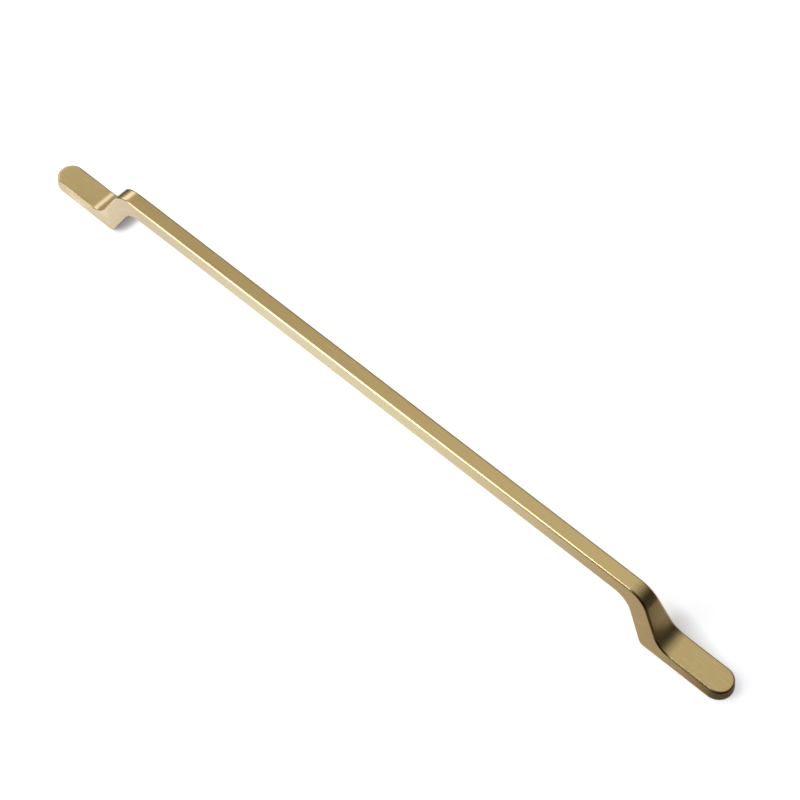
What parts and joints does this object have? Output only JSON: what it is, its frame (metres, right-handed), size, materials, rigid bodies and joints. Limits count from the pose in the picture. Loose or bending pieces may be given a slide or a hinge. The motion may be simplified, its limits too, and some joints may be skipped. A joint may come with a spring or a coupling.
{
  "type": "bar pull",
  "caption": "Slim straight grip stepping down at each end through a leaning riser to a flat foot with a round toe, fixed by blind tapped holes from behind.",
  "frame": {"origin": "on the mounting plane, midway between the two fixing holes", "axes": "+X along the grip, +Z away from the drawer or door front, +Y across the grip"},
  "size_m": [0.3938, 0.0138, 0.028],
  "materials": {
    "brass": "satin, fine brushed grain along the grip"
  },
  "bodies": {
    "root": {"bar_pull": "brass"}
  },
  "joints": []
}
